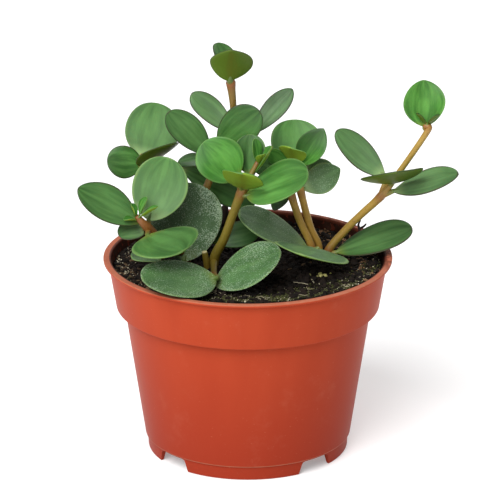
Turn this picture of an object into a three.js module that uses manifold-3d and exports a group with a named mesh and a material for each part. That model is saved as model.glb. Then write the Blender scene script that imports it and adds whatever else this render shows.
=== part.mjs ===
// A radiator plant (peperomia) in a thin plastic nursery pot.
// Millimetres, +Z up, +X to the right and +Y away from whoever looks at its front.
// The origin lies on the pot's axis, on the surface that the pot stands on.
import * as THREE from "three";
import { mergeVertices } from "three/addons/utils/BufferGeometryUtils.js";
import Module from "manifold-3d";

const wasm = await Module();
wasm.setup();

// Pot: a rolled rim, a collar, a tapered body and a foot ring with four gaps
const POT_HEIGHT = 75;
const RIM_RADIUS = 54;
const RIM_THICKNESS = 1.1;
const RIM_EDGE = 0.5;
const COLLAR_TOP_RADIUS = 52.2;
const COLLAR_FOOT_RADIUS = 49.3;
const COLLAR_FOOT_HEIGHT = 56.2;
const BODY_TOP_RADIUS = 46.2;
const BODY_TOP_HEIGHT = 55.3;
const BODY_FOOT_RADIUS = 38.7;
const FOOT_LINE_HEIGHT = 5.5;
const FOOT_TOP_RADIUS = 38.1;
const FOOT_TOP_HEIGHT = 5.1;
const FOOT_RADIUS = 37.7;
const FOOT_WIDTH = 1.3;
const WALL = 1.0;
const FLOOR_UNDERSIDE = 3.5;
const FLOOR_TOP = 4.8;
const PAD_RADIUS = 7;
const DRAFT = 0.4;
const POT_SIDES = 48;

// The pot's inside as [radius, height] points from its floor to the rim
const INSIDE = [
  [BODY_FOOT_RADIUS - 2 * WALL, FLOOR_TOP],
  [BODY_FOOT_RADIUS - WALL, FLOOR_TOP + WALL],
  [BODY_TOP_RADIUS - WALL, BODY_TOP_HEIGHT + WALL],
  [COLLAR_FOOT_RADIUS - WALL, COLLAR_FOOT_HEIGHT + WALL],
  [COLLAR_TOP_RADIUS - WALL, POT_HEIGHT - RIM_EDGE],
];

// The gaps between the feet also open the floor's corner for drainage
const FOOT_GAP_ANGLES = [42, 132, 222, 312];
const FOOT_GAP_WIDTH = 16;
const FOOT_GAP_TOP_WIDTH = 12.5;
const FOOT_GAP_HEIGHT = 4.9;
const DRAIN_INNER_RADIUS = 30.5;

// Soil
const SOIL_HEIGHT = 71.0;
const SOIL_LUMP = 0.6;
const SOIL_CLEARANCE = 0.4;
const SOIL_RINGS = 8;
const STEM_CLEARANCE = 0.35;

// Leaves, petioles and stems
const BLADE_EDGE = 0.8;
const BLADE_MIDDLE = 1.7;
const FULL_BLADE = 14;
const LARGE_LEAF = 16.5;
const SMALL_LEAF = 9;
const BLADE_END_HALF_WIDTH = 0.35;
const PETIOLE_RADIUS = 0.8;
const PETIOLE_REACH = 3;
const PETIOLE_SUNK = 0.8;
const PETIOLE_SIDES = 5;
const STEM_SIDES = 7;
const STEM_STEPS = 2;

// Each shoot has paths of [x, y, z, radius] points. A leaf is
// [path, point, base, heading, rise, roll, length, width, cup, droop]: the point on a path that it
// grows from, where its blade begins, the compass heading of its midrib (0 is +X, 90 is +Y), the
// midrib's climb and its turn about itself in degrees, and then its sizes: the rim stands above the
// midrib by cup, and the tip hangs below its line by droop. Some leaves have one more number: how
// much sharper than a plain oval their tip is.
const SHOOTS = {
  shoot_centre: {
    colour: 0x4c9a45,
    stem: [[-12.6, -2, 64, 1.9], [-12.6, -2, 74, 1.9], [-8.7, -4, 83.3, 1.7], [-5.6, -6, 93, 1.6],
      [-2.3, -8, 102.5, 1.7], [0.5, -7.5, 108, 1.0], [3.6, -6, 113.5, 0.8]],
    runner: [[-12.6, -2, 73.6, 1.3], [-12.6, -11, 73.6, 1.2], [-12.5, -20, 74, 1.2]],
    stub: [[-14.9, -3.2, 68, 1.2], [-15.4, -3.4, 73, 1.2], [-16.2, -3.4, 77.8, 1.1]],
    leaves: [
      ["stem", 4, [-4, -8.5, 107.8], 165, 45, -65, 18.5, 17.5, 1.5, 0, 0.06],
      ["stem", 4, [-0.6, -9.5, 101.7], 344, 24, 34, 26, 20, 1.5, 0],
      ["stem", 4, [-2.2, -9.5, 104.7], 272, 38, -16, 16, 16, 1.2, 0],
      ["stem", 4, [0.7, -5.5, 108.5], 86, 70, 4, 15, 12, 1.5, 0],
      ["stem", 6, [3.6, -6, 113.5], 135, 80, 0, 9, 5, 1, 0],
      ["stem", 6, [2, -5.5, 109], 0, 57, 10, 12.6, 7, 1.5, 0],
      ["stem", 6, [4.2, -7, 113.5], 290, 50, 0, 6, 4, 1, 0],
      ["runner", 2, [-11.6, -28.8, 76.4], 208, 7.5, -21, 30, 23, 1, 0],
      ["runner", 2, [-12.3, -25, 72.9], 350, 30, 24, 28, 23, 1, 1],
    ],
  },
  shoot_tall: {
    colour: 0x3f8a48,
    stem: [[-19.5, 11, 64, 1.7], [-19.5, 11, 74, 1.7], [-18, 10, 88, 1.5], [-14.6, 9, 101, 1.4],
      [-9.5, 8, 111, 1.3], [-6.7, 8, 117, 1.4], [-5.4, 8, 128.6, 1.2], [-6.3, 8, 140, 1.6]],
    leaves: [
      ["stem", 5, [-5.7, 11, 120.5], 156, 36, -40, 20.8, 10, 1, 0, 0.06],
      ["stem", 5, [2, 13, 118.4], 27, 43, 41, 22.5, 8.8, 1, 0, 0.08],
      ["stem", 5, [-11, 5, 116.9], 351, 41, 80, 20.8, 14.6, 1, 0],
      ["stem", 5, [-14, 6, 112.6], 190, 48, -84, 23.5, 11.5, 1, 0],
      ["stem", 4, [-13.2, 9, 108.8], 208, 5, -24, 14.5, 8, 1, 0, 0.1],
      ["stem", 1, [-14, 11, 76.5], 8, 12, 60, 19, 10, 1, 0],
      ["stem", 7, [-6.5, 7, 141], 273, 63, 0, 15.6, 16, 1.5, 0, 0.25],
      ["stem", 7, [-6.5, 9, 140.3], 136, 61, 0, 15, 10, 2, 0],
      ["stem", 5, [-6, 12, 117], 80, 0, 0, 18, 14, 1, 0],
    ],
  },
  shoot_left_back: {
    colour: 0x4a9148,
    stem: [[-20, 15, 64, 1.6], [-20, 15, 74, 1.6], [-24, 14, 85, 1.4], [-33, 12, 99, 1.3],
      [-39.2, 10, 108, 1.4], [-39.5, 10, 111, 0.8]],
    leaves: [
      ["stem", 4, [-38.3, 11, 109.7], 46, 71, 42, 21, 20.6, 1.5, 0],
      ["stem", 4, [-39.5, 9, 107.8], 190, 10, -60, 13.3, 12.6, 1, 0],
      ["stem", 4, [-39.8, 8, 107.5], 330, 38, -12, 18, 17, 1, 0],
      ["stem", 3, [-25.5, 18.5, 103.5], 353, -26, 60, 31.5, 11.4, 1, 0, 0.1],
      ["stem", 1, [-20, 18.5, 75], 100, 10, 0, 23, 18, 1, 0],
    ],
  },
  shoot_left_front: {
    colour: 0x478f4a,
    stem: [[-23.5, 3, 64, 1.7], [-23.5, 3, 74, 1.7], [-29, -6, 80, 1.5], [-36.8, -16, 91.5, 1.6],
      [-40.4, -17, 95.7, 1]],
    leaves: [
      ["stem", 3, [-36.5, -13, 93.3], 34, 68, 52, 24.4, 20.4, 2, 0],
      ["stem", 3, [-39.3, -16, 93.3], 185, 31.5, -52, 27, 14.2, 1.5, 0, 0.1],
      ["stem", 3, [-36.6, -20, 89.9], 306, 0.5, 12, 22.5, 26, 1.5, 0, 0.06],
      ["stem", 3, [-38.5, -13, 89.8], 205, -5, -25, 10, 10, 1, 0],
      ["stem", 2, [-32, -8, 77], 200, 7, -15, 12, 9, 1, 0],
      ["stem", 4, [-39.9, -17, 96.4], 20, 66, 0, 7.6, 4.6, 1, 0],
      ["stem", 4, [-39.9, -17.5, 96], 345, 34, 0, 8.8, 3.6, 1, 0],
      ["stem", 4, [-40.9, -17, 96.2], 160, 68, 0, 5.2, 3.6, 1, 0],
      ["stem", 4, [-40.8, -17.5, 95], 210, 10, 0, 5.4, 3.6, 1, 0],
      ["stem", 1, [-23.8, -0.8, 73], 80, 76, 20, 29.5, 27, 1, 0],
    ],
  },
  shoot_twin_left: {
    colour: 0x55884e,
    stem: [[24.2, 10, 64, 1.3], [24.2, 10, 74, 1.3], [19.7, 10.5, 84.7, 1.4], [16.3, 11, 95, 1.4],
      [14.5, 12, 104, 1.0]],
    leaves: [
      ["stem", 4, [13, 12, 103.5], 185, 20, -50, 12, 9, 1, 0],
      ["stem", 4, [13.8, 10.5, 104], 262, 10, 0, 11, 9, 1, 0],
      ["stem", 4, [14.6, 13.5, 105.5], 80, 45, 0, 14, 12, 1, 0],
      ["stem", 1, [22.4, 8, 75], 193, 31, -25, 31, 18.5, 1, 0],
      ["stem", 1, [26, 2.6, 76.6], 258, 12.8, -11, 24, 29, 0.5, 0],
      ["stem", 3, [15.2, 12, 94], 165, -35, -40, 8, 8, 1, 0],
    ],
  },
  shoot_twin_right: {
    colour: 0x4ea04c,
    stem: [[26.8, 13, 64, 1.3], [26.8, 13, 74, 1.3], [23.5, 13, 81.6, 1.4], [19.9, 12.5, 95.6, 1.35],
      [17.9, 10, 105.3, 1.3]],
    leaves: [
      ["stem", 4, [17.6, 11, 107.5], 95, 68, 0, 16.5, 19, 2, 0],
      ["stem", 4, [19, 9, 107], 8, 57, 60, 17.2, 11, 1.5, 0, 0.3],
      ["stem", 4, [16.7, 8.5, 109.2], 262, 50, -14, 9.5, 11, 1, 0],
      ["stem", 3, [20.9, 21, 101], 2, 6, 50, 11.5, 9, 1, 0],
      ["stem", 3, [20.3, 14.5, 96.2], 12, 26, 66, 16.4, 11.2, 1, 0, 0.3],
      ["stem", 4, [15, 10.5, 107.5], 192, 40, -120, 9, 8, 1, 0],
    ],
  },
  shoot_right: {
    colour: 0x468c44,
    stem: [[30.2, 7, 64, 1.5], [30.2, 7, 74, 1.5], [36.3, 7, 82.2, 1.45], [41.8, 6, 88.5, 1.4],
      [49.6, 4, 97, 1.45], [56.1, 4, 106.1, 1.15], [66.4, 4, 122.2, 1.15], [65.9, 4.4, 124.3, 1.1]],
    leaves: [
      ["stem", 4, [51.3, 6, 103.7], 158, 39, -40, 25.4, 11.4, 1, 0, 0.04],
      ["stem", 4, [53.4, 3, 102.4], 275, 31.5, 7, 18, 23.8, 1.2, 0, 0.2],
      ["stem", 4, [53.9, 3, 99.2], 346, 19.5, 26, 26.3, 13.4, 1, 0, 0.04],
      ["stem", 7, [65.5, 4.8, 123.8], 98, 76, -8, 17.4, 15.6, 3, 0, 0.14],
      ["stem", 7, [65.4, 3.9, 125.2], 205, 52, 0, 5.6, 3.6, 1, 0],
      ["stem", 7, [66.4, 3.6, 125.2], 335, 42, 0, 6.4, 3.6, 1, 0],
      ["stem", 1, [33.1, 6, 74], 0, 18.3, 18, 30.1, 18, 1, 0],
    ],
  },
};

const POT_FINISH = { color: 0xc44c30, roughness: 0.45, metalness: 0 };
const SOIL_FINISH = { color: 0x2e211a, roughness: 0.95, metalness: 0 };
const LEAF_FINISH = { roughness: 0.4, metalness: 0 };

// A closed skin over rings that all have the same number of points
function loft(rings) {
  const sides = rings[0].length;
  const last = (rings.length - 1) * sides;
  const index = [];
  for (let i = 0; i < rings.length - 1; i += 1) {
    for (let j = 0; j < sides; j += 1) {
      const a = i * sides + j;
      const b = i * sides + ((j + 1) % sides);
      index.push(a, b, a + sides, b, b + sides, a + sides);
    }
  }
  for (let j = 1; j < sides - 1; j += 1) {
    index.push(0, j + 1, j);
    index.push(last, last + j, last + j + 1);
  }
  const geometry = new THREE.BufferGeometry().setFromPoints(rings.flat());
  geometry.setIndex(index);
  return geometry;
}

function toManifold(geometry) {
  const bare = geometry.clone();
  bare.deleteAttribute("normal");
  bare.deleteAttribute("uv");
  const merged = mergeVertices(bare, 1e-4);
  return new wasm.Manifold(new wasm.Mesh({
    numProp: 3,
    vertProperties: new Float32Array(merged.attributes.position.array),
    triVerts: new Uint32Array(merged.index.array),
  }));
}

// The largest body of a solid, without sealed pockets and loose scraps
function toGeometry(solid) {
  const bodies = solid.decompose();
  const largest = bodies.reduce((a, b) => (b.volume() > a.volume() ? b : a));
  const mesh = largest.getMesh();
  const geometry = new THREE.BufferGeometry();
  geometry.setAttribute("position", new THREE.BufferAttribute(new Float32Array(mesh.vertProperties), 3));
  geometry.setIndex(new THREE.BufferAttribute(new Uint32Array(mesh.triVerts), 1));
  return geometry;
}

function fuse(geometries) {
  return geometries.map(toManifold).reduce((whole, piece) => whole.add(piece));
}

// The midrib's direction, the blade's sideways direction and its upper side
function bladeAxes(heading, rise, roll) {
  const [h, r, t] = [heading, rise, roll].map(THREE.MathUtils.degToRad);
  const along = new THREE.Vector3(Math.cos(r) * Math.cos(h), Math.cos(r) * Math.sin(h), Math.sin(r));
  const up = new THREE.Vector3(-Math.sin(r) * Math.cos(h), -Math.sin(r) * Math.sin(h), Math.cos(r));
  const level = new THREE.Vector3(Math.sin(h), -Math.cos(h), 0);
  const normal = up.clone().multiplyScalar(Math.cos(t)).addScaledVector(level, Math.sin(t));
  const side = level.clone().multiplyScalar(Math.cos(t)).addScaledVector(up, -Math.sin(t));
  return { along, side, normal };
}

// Half the blade's width, as a share of its widest, at a share u of its length:
// round blades have blunt ends, slim ones narrow towards their stalk
function bladeOutline(u, slimness, sharpness) {
  const tip = 0.48 + 0.1 * slimness + sharpness;
  const root = 0.55 + 0.45 * slimness + 0.6 * sharpness;
  const widest = root / (root + tip);
  const height = widest ** root * (1 - widest) ** tip;
  return (u ** root * (1 - u) ** tip) / height;
}

// A fleshy blade: rings of points across it, over its upper side and back under it
function blade([, , base, heading, rise, roll, length, width, cup, droop, sharpness = 0]) {
  const { along, side, normal } = bladeAxes(heading, rise, roll);
  const stretches = length > LARGE_LEAF ? 6 : length > SMALL_LEAF ? 5 : 4;
  const columns = length > SMALL_LEAF ? 4 : 2;
  const slimness = Math.max(0, 1 - width / length);
  const swell = Math.max(0, BLADE_MIDDLE * Math.min(1, length / FULL_BLADE) - BLADE_EDGE);
  const rings = [];
  for (let i = 0; i <= stretches; i += 1) {
    const u = (1 - Math.cos((Math.PI * i) / stretches)) / 2;
    const half = Math.max((bladeOutline(u, slimness, sharpness) * width) / 2, BLADE_END_HALF_WIDTH);
    const upper = [];
    const lower = [];
    for (let j = 0; j <= columns; j += 1) {
      const v = (2 * j) / columns - 1;
      const lift = cup * ((v * half) / (width / 2)) ** 2 - droop * u * u;
      const thickness = BLADE_EDGE + swell * (1 - v * v) * 4 * u * (1 - u);
      const middle = new THREE.Vector3(...base)
        .addScaledVector(along, u * length)
        .addScaledVector(side, v * half)
        .addScaledVector(normal, lift);
      upper.push(middle.clone().addScaledVector(normal, thickness / 2));
      lower.unshift(middle.clone().addScaledVector(normal, -thickness / 2));
    }
    rings.push([...upper, ...lower]);
  }
  return loft(rings);
}

// A round stem through [x, y, z, radius] points
function tube(points, sides, steps) {
  const curve = new THREE.CatmullRomCurve3(points.map(([x, y, z]) => new THREE.Vector3(x, y, z)));
  curve.curveType = "catmullrom";
  const count = (points.length - 1) * steps;
  const rings = [];
  let across = new THREE.Vector3(1, 0, 0);
  for (let i = 0; i <= count; i += 1) {
    const t = i / count;
    const centre = curve.getPoint(t);
    const tangent = curve.getTangent(t);
    const place = t * (points.length - 1);
    const before = Math.min(Math.floor(place), points.length - 2);
    const radius = THREE.MathUtils.lerp(points[before][3], points[before + 1][3], place - before);
    if (i === 0 && Math.abs(tangent.x) > 0.8) across = new THREE.Vector3(0, 1, 0);
    across.addScaledVector(tangent, -across.dot(tangent)).normalize();
    const over = new THREE.Vector3().crossVectors(tangent, across);
    const ring = [];
    for (let j = 0; j < sides; j += 1) {
      const angle = (2 * Math.PI * j) / sides;
      ring.push(centre.clone()
        .addScaledVector(across, radius * Math.cos(angle))
        .addScaledVector(over, radius * Math.sin(angle)));
    }
    rings.push(ring);
  }
  return loft(rings);
}

// The leaf's stalk, from inside the stem into the blade
function petiole(shoot, [path, point, base, heading, rise, roll, length]) {
  const reach = Math.min(PETIOLE_REACH, 0.2 * length);
  const radius = PETIOLE_RADIUS * Math.min(1, length / FULL_BLADE);
  const joint = new THREE.Vector3(...shoot[path][point].slice(0, 3));
  const below = new THREE.Vector3(...shoot[path][point - 1].slice(0, 3));
  const start = joint.clone().add(below.sub(joint).setLength(PETIOLE_SUNK));
  const { along } = bladeAxes(heading, rise, roll);
  const neck = new THREE.Vector3(...base).addScaledVector(along, -0.3);
  const end = new THREE.Vector3(...base).addScaledVector(along, reach);
  return tube([
    [start.x, start.y, start.z, 1.2 * radius],
    [neck.x, neck.y, neck.z, radius],
    [end.x, end.y, end.z, 0.6 * radius],
  ], PETIOLE_SIDES, 1);
}

function makeShoot(shoot) {
  const paths = ["stem", "runner", "stub"].filter((path) => path in shoot);
  const pieces = [
    ...paths.map((path) => tube(shoot[path], STEM_SIDES, STEM_STEPS)),
    ...shoot.leaves.map((leaf) => petiole(shoot, leaf)),
    ...shoot.leaves.map(blade),
  ];
  return toGeometry(fuse(pieces));
}

// A closed profile of [radius, height] points turned about the pot's axis
function turned(profile) {
  const points = profile.map(([radius, height]) => new THREE.Vector2(radius, height));
  return new THREE.LatheGeometry(points, POT_SIDES).rotateX(Math.PI / 2);
}

function footGapCutter(degrees) {
  const shape = new THREE.Shape();
  shape.moveTo(-FOOT_GAP_WIDTH / 2, -1);
  shape.lineTo(FOOT_GAP_WIDTH / 2, -1);
  shape.lineTo(FOOT_GAP_TOP_WIDTH / 2, FOOT_GAP_HEIGHT);
  shape.lineTo(-FOOT_GAP_TOP_WIDTH / 2, FOOT_GAP_HEIGHT);
  const cutter = new THREE.ExtrudeGeometry(shape, {
    depth: RIM_RADIUS - DRAIN_INNER_RADIUS,
    bevelEnabled: false,
  });
  cutter.translate(0, 0, DRAIN_INNER_RADIUS);
  cutter.rotateX(Math.PI / 2);
  cutter.rotateZ(THREE.MathUtils.degToRad(degrees + 90));
  return toManifold(cutter);
}

function makePot() {
  const underRim = POT_HEIGHT - RIM_THICKNESS;
  const innerFoot = FOOT_RADIUS - FOOT_WIDTH;
  const shell = turned([
    [0, 0],
    [PAD_RADIUS, 0],
    [PAD_RADIUS + DRAFT, FLOOR_UNDERSIDE],
    [innerFoot - DRAFT, FLOOR_UNDERSIDE],
    [innerFoot, 0],
    [FOOT_RADIUS, 0],
    [FOOT_TOP_RADIUS, FOOT_TOP_HEIGHT],
    [BODY_FOOT_RADIUS, FOOT_LINE_HEIGHT],
    [BODY_TOP_RADIUS, BODY_TOP_HEIGHT],
    [COLLAR_FOOT_RADIUS, COLLAR_FOOT_HEIGHT],
    [COLLAR_TOP_RADIUS, underRim],
    [RIM_RADIUS - RIM_EDGE, underRim],
    [RIM_RADIUS, underRim + RIM_EDGE],
    [RIM_RADIUS, POT_HEIGHT - RIM_EDGE],
    [RIM_RADIUS - RIM_EDGE, POT_HEIGHT],
    [COLLAR_TOP_RADIUS - WALL + RIM_EDGE, POT_HEIGHT],
    ...INSIDE.toReversed(),
    [0, FLOOR_TOP],
  ]);
  const gaps = FOOT_GAP_ANGLES.map(footGapCutter);
  return toGeometry(gaps.reduce((pot, gap) => pot.subtract(gap), toManifold(shell)));
}

// The height of the soil's lumpy surface
function soilTop(x, y) {
  const broad = Math.sin(0.17 * x + 1.3) * Math.cos(0.15 * y + 0.4);
  const fine = Math.sin(0.43 * x + 0.36 * y) * Math.cos(0.4 * x - 0.5 * y);
  return SOIL_HEIGHT + SOIL_LUMP * (0.6 * broad + 0.4 * fine);
}

function makeSoil() {
  const wall = INSIDE.map(([radius, height]) => [radius - SOIL_CLEARANCE, height + SOIL_CLEARANCE]);
  const [[shoulder, shoulderHeight], [lip, lipHeight]] = wall.splice(-2, 2);
  const share = (SOIL_HEIGHT - shoulderHeight) / (lipHeight - shoulderHeight);
  const edge = THREE.MathUtils.lerp(shoulder, lip, share);
  const profile = [[0, FLOOR_TOP + SOIL_CLEARANCE], ...wall, [shoulder, shoulderHeight]];
  for (let ring = SOIL_RINGS; ring >= 0; ring -= 1) {
    profile.push([(edge * ring) / SOIL_RINGS, SOIL_HEIGHT]);
  }
  const heap = turned(profile);
  const place = heap.attributes.position;
  for (let i = 0; i < place.count; i += 1) {
    if (place.getZ(i) > SOIL_HEIGHT - 1) place.setZ(i, soilTop(place.getX(i), place.getY(i)));
  }
  const holes = Object.values(SHOOTS).flatMap(stemHoles);
  return toGeometry(holes.reduce((soil, hole) => soil.subtract(toManifold(hole)), toManifold(heap)));
}

// Each stem stands in a hole that is a little wider and deeper than its foot
function stemHoles(shoot) {
  return ["stem", "stub"].filter((path) => path in shoot).map((path) => {
    const [foot, ...rest] = shoot[path];
    const deeper = [foot[0], foot[1], foot[2] - STEM_CLEARANCE, foot[3]];
    const wider = [deeper, ...rest].map(([x, y, z, r]) => [x, y, z, r + STEM_CLEARANCE]);
    return tube(wider, STEM_SIDES, STEM_STEPS);
  });
}

function named(name, geometry, finish) {
  const mesh = new THREE.Mesh(geometry, new THREE.MeshStandardMaterial(finish));
  mesh.name = name;
  return mesh;
}

const plant = new THREE.Group();
plant.add(named("pot", makePot(), POT_FINISH));
plant.add(named("soil", makeSoil(), SOIL_FINISH));
for (const [name, shoot] of Object.entries(SHOOTS)) {
  plant.add(named(name, makeShoot(shoot), { color: shoot.colour, ...LEAF_FINISH }));
}

export default plant;
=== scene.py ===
import math

import bmesh
import bpy
import numpy as np
from mathutils import Matrix, Vector, noise


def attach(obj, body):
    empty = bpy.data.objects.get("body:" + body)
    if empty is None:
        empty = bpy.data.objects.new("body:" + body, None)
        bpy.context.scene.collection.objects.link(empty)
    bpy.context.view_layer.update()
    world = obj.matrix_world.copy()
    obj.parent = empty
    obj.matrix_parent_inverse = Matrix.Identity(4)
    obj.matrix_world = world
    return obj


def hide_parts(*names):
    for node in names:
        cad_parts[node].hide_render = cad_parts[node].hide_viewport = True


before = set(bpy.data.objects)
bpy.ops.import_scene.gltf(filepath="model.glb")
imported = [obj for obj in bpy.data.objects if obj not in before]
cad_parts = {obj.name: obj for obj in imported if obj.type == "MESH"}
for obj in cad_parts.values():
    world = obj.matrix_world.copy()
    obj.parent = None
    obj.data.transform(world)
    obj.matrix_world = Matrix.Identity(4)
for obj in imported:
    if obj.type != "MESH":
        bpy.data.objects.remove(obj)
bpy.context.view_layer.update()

# The shapes below are worked out in millimetres, in the frame's axes, and stored in metres.
MM = 0.001

# Pot
POT_HEIGHT = 75
RIM_RADIUS = 54
RIM_THICKNESS = 1.1
COLLAR_TOP_RADIUS = 52.2
COLLAR_FOOT_RADIUS = 49.3
COLLAR_FOOT_HEIGHT = 56.2
BODY_TOP_RADIUS = 46.2
BODY_TOP_HEIGHT = 55.3
BODY_FOOT_RADIUS = 38.7
FOOT_LINE_HEIGHT = 5.5
FOOT_RADIUS = 37.7
FOOT_WIDTH = 1.3
WALL = 1.0
FLOOR_UNDERSIDE = 3.5
FLOOR_TOP = 4.8
PAD_RADIUS = 7
DRAFT = 0.4
FOOT_LINE_STEP = 0.12
FOOT_LINE_DEPTH = 0.35
POT_SIDES = 192
FILLET_STEPS = 5
AXIS_RADIUS = 0.02
FOOT_GAP_ANGLES = (42, 132, 222, 312)
FOOT_GAP_WIDTH = 16
FOOT_GAP_TOP_WIDTH = 12.5
FOOT_GAP_HEIGHT = 4.9
DRAIN_INNER_RADIUS = 30.5

# Soil
SOIL_HEIGHT = 71.0
SOIL_LUMP = 0.6
SOIL_RADIUS = 50.2
SOIL_GAP = 0.3
SOIL_EDGE = 0.4
SOIL_SIDES = 240
SOIL_RINGS = 90
SOIL_CENTRE_SHARE = 0.005
CRUMB_HEIGHT = 0.55
GRAIN_HEIGHT = 0.25

# Loose bits lie inside these radii, and the front crescent of moss and perlite has its own centre
OPEN_RADIUS = 49.2
WALL_RADIUS = 49.4
CRESCENT_RADIUS = 51
CRESCENT_SHIFT = 11

# The bits' proportions, how uneven and how tilted they are, and how far small ones prevail
ROUND_GRAIN = (1, 0.9, 0.8)
FLAT_CHIP = (1, 0.6, 0.4)
BIT_JITTER = 0.28
BIT_TILT = 0.35
BIT_SMALLNESS = 2.5

# Root threads
FIBRE_COUNT = 11
FIBRE_POINTS = 9
FIBRE_STEP = 0.75
FIBRE_BEND = 0.35
FIBRE_RADIUS = 0.1

# Bark twigs as (x, y, z, radius) points
TWIGS = [
    [(-10, 46.5, 70.5, 1.3), (-9.4, 47.5, 74, 1.6), (-9, 48, 77, 1.5), (-8.2, 48, 79, 0.6)],
    [(-6.5, 46, 70.5, 1.2), (-6, 47, 74, 1.3), (-6.4, 47.5, 76.5, 0.6)],
    [(41, 22, 71, 0.6), (42.4, 24, 76, 0.5), (42, 24.5, 78.5, 0.45), (42.8, 24.5, 80.4, 0.25)],
    [(42.2, 24.3, 77, 0.45), (44, 24.6, 77.9, 0.45), (45, 24.6, 79, 0.25)],
]

# Leaves and stems
BLADE_EDGE = 0.8
BLADE_MIDDLE = 1.7
FULL_BLADE = 14
BLADE_END_HALF_WIDTH = 0.06
BLADE_ROWS = 30
BLADE_SIDES = 28
EDGE_RIPPLE = 0.035
EDGE_WAVE = 0.45
BLADE_TWIST = 0.1
BLADE_BOW = 0.5
BLADE_DRIFT = 0.35
GROOVE_DEPTH = 0.22
GROOVE_HALF_WIDTH = 0.1
PETIOLE_RADIUS = 0.8
PETIOLE_REACH = 3
PETIOLE_SUNK = 0.8
PETIOLE_STEPS = 8
STEM_SIDES = 16
STEM_STEPS = 10
JOINT_REACH = 2.2
JOINT_SWELL = 0.16
CUT_TAPER = 0.82
FOOT_FADE = 7
SHOOT_SEED = 40

# How a leaf looks: its youth, waxy bloom and mineral dust, its painted shade, which darkens it
# for the shadow it lies in, and its rim, which goes from dark (-1) to pale (1), pale being a
# painted highlight
LOOKS = {
    "bud": {"youth": 1.3, "bloom": 0.0, "dust": 0.0, "shade": 0.0, "rim": 0.6},
    "young": {"youth": 1.0, "bloom": 0.05, "dust": 0.0, "shade": 0.06, "rim": 0.35},
    "fresh": {"youth": 0.7, "bloom": 0.1, "dust": 0.0, "shade": 0.12, "rim": 0.4},
    "mature": {"youth": 0.32, "bloom": 0.2, "dust": 0.0, "shade": 0.18, "rim": -0.8},
    "pale": {"youth": 0.55, "bloom": 0.65, "dust": 0.0, "shade": 0.0, "rim": 0.2},
    "vivid": {"youth": 1.2, "bloom": 0.0, "dust": 0.0, "shade": 0.6, "rim": 0.3},
    "soft": {"youth": 0.8, "bloom": 0.5, "dust": 0.0, "shade": 0.0, "rim": 0.4},
    "dark": {"youth": 0.45, "bloom": 0.0, "dust": 0.0, "shade": 0.38, "rim": -0.7},
    "glossy": {"youth": 0.5, "bloom": 0.75, "dust": 0.0, "shade": 0.0, "rim": 0.8},
    "dull": {"youth": 0.12, "bloom": 0.6, "dust": 0.0, "shade": 0.0, "rim": -1.0},
    "grey": {"youth": 0.2, "bloom": 0.1, "dust": 0.0, "shade": 0.38, "rim": -1.0},
    "old": {"youth": 0.0, "bloom": 0.6, "dust": 0.6, "shade": 0.2, "rim": 1.0},
    "dusty": {"youth": 0.2, "bloom": 0.15, "dust": 1.0, "shade": 0.2, "rim": 0.5},
    "plain": {"youth": 0.4, "bloom": 0.1, "dust": 0.0, "shade": 0.24, "rim": 0.7},
    "low": {"youth": 0.7, "bloom": 0.2, "dust": 0.5, "shade": 0.3, "rim": 1.5},
    "deep": {"youth": 0.1, "bloom": 0.5, "dust": 1.6, "shade": 0.8, "rim": 0.4},
    "silver": {"youth": 0.1, "bloom": 1.0, "dust": 0.6, "shade": 0.0, "rim": 1.0},
    "shaded": {"youth": 0.2, "bloom": 0.0, "dust": 0.0, "shade": 0.55, "rim": -0.5},
}

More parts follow.
